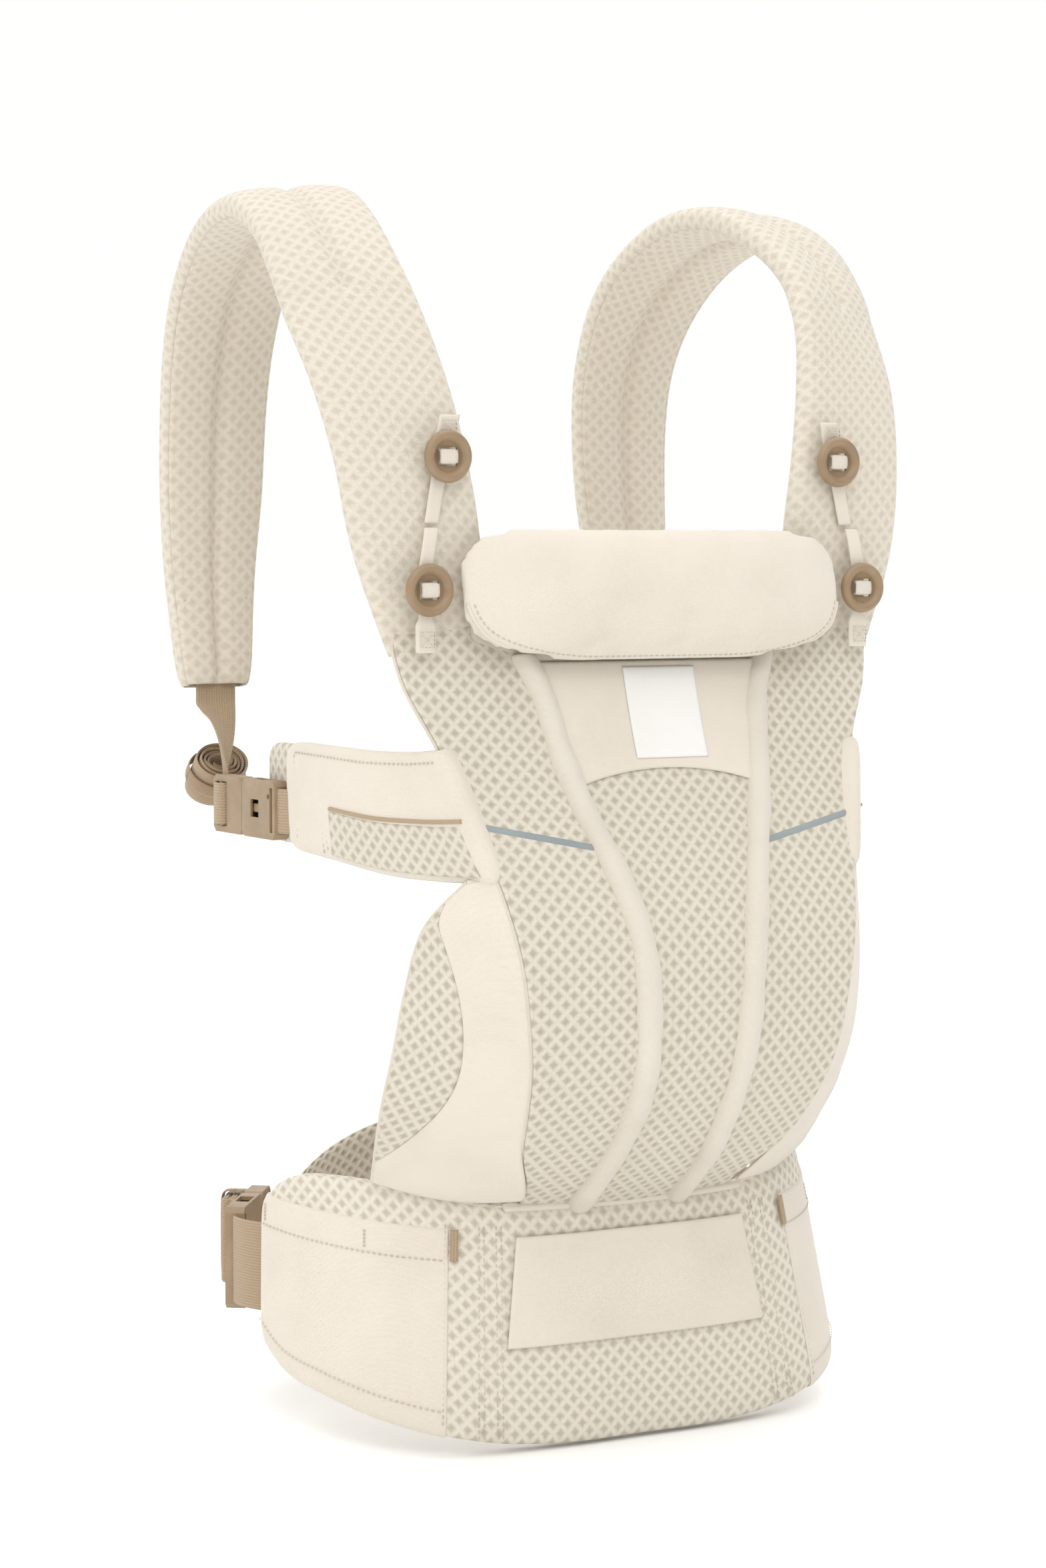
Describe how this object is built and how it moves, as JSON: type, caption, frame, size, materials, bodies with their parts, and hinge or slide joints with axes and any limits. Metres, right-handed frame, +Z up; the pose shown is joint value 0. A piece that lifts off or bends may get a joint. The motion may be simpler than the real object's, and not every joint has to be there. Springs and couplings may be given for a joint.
{
  "type": "soft baby carrier",
  "caption": "Soft-structured baby carrier with padded mesh shoulder straps, shaped front panel, fold-down head support and padded waist belt with side-release buckles.",
  "frame": {"origin": "on the middle plane at the level of the lowest edge of the waist belt, inside the waist ring where the wearer stands", "axes": "+Z up along the wearer, -Y out through the front panel, +X to the right when looking along +Y; X = 0 is the middle plane"},
  "size_m": [0.3788, 0.3399, 0.6854],
  "materials": {
    "mesh": "3-D mesh knit",
    "cotton": "woven cotton",
    "lining": "smooth lining",
    "foam": "soft foam",
    "webbing": "woven webbing",
    "elastic": "woven elastic",
    "label": "blank woven label",
    "reflective": "reflective tape",
    "plastic": "moulded, matte"
  },
  "bodies": {
    "carrier": {"panel_center": "mesh", "panel_side_left": "mesh", "panel_side_right": "mesh", "panel_lining": "lining", "piping_left": "cotton", "piping_right": "cotton", "front_pocket": "cotton", "label": "label", "reflective_trims": "reflective", "seat_mesh_left": "mesh", "seat_mesh_right": "mesh", "seat_edge_left": "cotton", "seat_edge_right": "cotton", "belt_front": "mesh", "belt_core": "foam", "belt_lining": "lining", "belt_flap": "cotton", "belt_pocket_left": "cotton", "belt_pocket_right": "cotton", "belt_tabs": "webbing", "waist_webbing_left": "webbing", "waist_webbing_right": "webbing", "lumbar_pad": "mesh", "waist_buckle_female": "plastic", "strap_cover_left": "mesh", "strap_cover_right": "mesh", "strap_foam_left": "foam", "strap_foam_right": "foam", "strap_lining_left": "lining", "strap_lining_right": "lining", "buckle_female_left": "plastic", "buckle_female_right": "plastic", "arm_cover_left": "cotton", "arm_cover_right": "cotton", "arm_pad_left": "mesh", "arm_pad_right": "mesh", "arm_welts": "webbing", "strap_tapes": "cotton"},
    "head_support": {"head_cushion": "cotton", "head_tapes": "cotton"},
    "head_button_left": {"button_head_left": "plastic"},
    "head_button_right": {"button_head_right": "plastic"},
    "strap_button_left": {"button_strap_left": "plastic"},
    "strap_button_right": {"button_strap_right": "plastic"},
    "waist_tongue": {"waist_buckle_male": "plastic", "waist_bundle": "webbing"},
    "waist_prong_upper": {"waist_prong_upper": "plastic"},
    "waist_prong_lower": {"waist_prong_lower": "plastic"},
    "strap_tongue_left": {"buckle_male_left": "plastic", "strap_webbing_left": "webbing", "strap_roll_left": "webbing", "roll_keeper_left": "elastic"},
    "prong_upper_left": {"prong_upper_left": "plastic"},
    "prong_lower_left": {"prong_lower_left": "plastic"},
    "strap_tongue_right": {"buckle_male_right": "plastic", "strap_webbing_right": "webbing", "strap_roll_right": "webbing", "roll_keeper_right": "elastic"},
    "prong_upper_right": {"prong_upper_right": "plastic"},
    "prong_lower_right": {"prong_lower_right": "plastic"}
  },
  "joints": [
    {"name": "head_support_fold", "type": "hinge", "parent": "carrier", "child": "head_support", "pos_m": [0, -0.097, 0.492], "axis": [-1, 0, 0], "range_deg": [0, 135]},
    {"name": "head_button_tilt_left", "type": "hinge", "parent": "head_support", "child": "head_button_left", "pos_m": [-0.137, -0.1002, 0.478], "axis": [-1, 0, 0], "range_deg": [0, 40]},
    {"name": "strap_button_tilt_left", "type": "hinge", "parent": "carrier", "child": "strap_button_left", "pos_m": [-0.1235, -0.0955, 0.548], "axis": [-1, 0, 0], "range_deg": [0, 40]},
    {"name": "head_button_tilt_right", "type": "hinge", "parent": "head_support", "child": "head_button_right", "pos_m": [0.137, -0.1002, 0.478], "axis": [-1, 0, 0], "range_deg": [0, 40]},
    {"name": "strap_button_tilt_right", "type": "hinge", "parent": "carrier", "child": "strap_button_right", "pos_m": [0.1235, -0.0955, 0.548], "axis": [-1, 0, 0], "range_deg": [0, 40]},
    {"name": "strap_release_left", "type": "slide", "parent": "carrier", "child": "strap_tongue_left", "axis": [0, 1, 0], "range_m": [0, 0.028]},
    {"name": "strap_left_prong_upper", "type": "hinge", "parent": "strap_tongue_left", "child": "prong_upper_left", "pos_m": [-0.156, 0.082, 0.3517], "axis": [1, 0, 0], "range_deg": [0, 9], "stiffness_Nm_per_rad": 0.02},
    {"name": "strap_left_prong_lower", "type": "hinge", "parent": "strap_tongue_left", "child": "prong_lower_left", "pos_m": [-0.156, 0.082, 0.3283], "axis": [-1, 0, 0], "range_deg": [0, 9], "stiffness_Nm_per_rad": 0.02},
    {"name": "strap_release_right", "type": "slide", "parent": "carrier", "child": "strap_tongue_right", "axis": [0, 1, 0], "range_m": [0, 0.028]},
    {"name": "strap_right_prong_upper", "type": "hinge", "parent": "strap_tongue_right", "child": "prong_upper_right", "pos_m": [0.156, 0.082, 0.3517], "axis": [1, 0, 0], "range_deg": [0, 9], "stiffness_Nm_per_rad": 0.02},
    {"name": "strap_right_prong_lower", "type": "hinge", "parent": "strap_tongue_right", "child": "prong_lower_right", "pos_m": [0.156, 0.082, 0.3283], "axis": [-1, 0, 0], "range_deg": [0, 9], "stiffness_Nm_per_rad": 0.02},
    {"name": "waist_release", "type": "slide", "parent": "carrier", "child": "waist_tongue", "axis": [0.6, 0.8, 0], "range_m": [0, 0.028]},
    {"name": "waist_prong_upper", "type": "hinge", "parent": "waist_tongue", "child": "waist_prong_upper", "pos_m": [-0.142, 0.11, 0.1082], "axis": [0.8, -0.6, 0], "range_deg": [0, 9], "stiffness_Nm_per_rad": 0.02},
    {"name": "waist_prong_lower", "type": "hinge", "parent": "waist_tongue", "child": "waist_prong_lower", "pos_m": [-0.142, 0.11, 0.0598], "axis": [-0.8, 0.6, 0], "range_deg": [0, 9], "stiffness_Nm_per_rad": 0.02}
  ],
  "couplings": [
    {"joint": "strap_left_prong_lower", "follows": "strap_left_prong_upper", "ratio": 1},
    {"joint": "strap_right_prong_lower", "follows": "strap_right_prong_upper", "ratio": 1},
    {"joint": "waist_prong_lower", "follows": "waist_prong_upper", "ratio": 1}
  ]
}
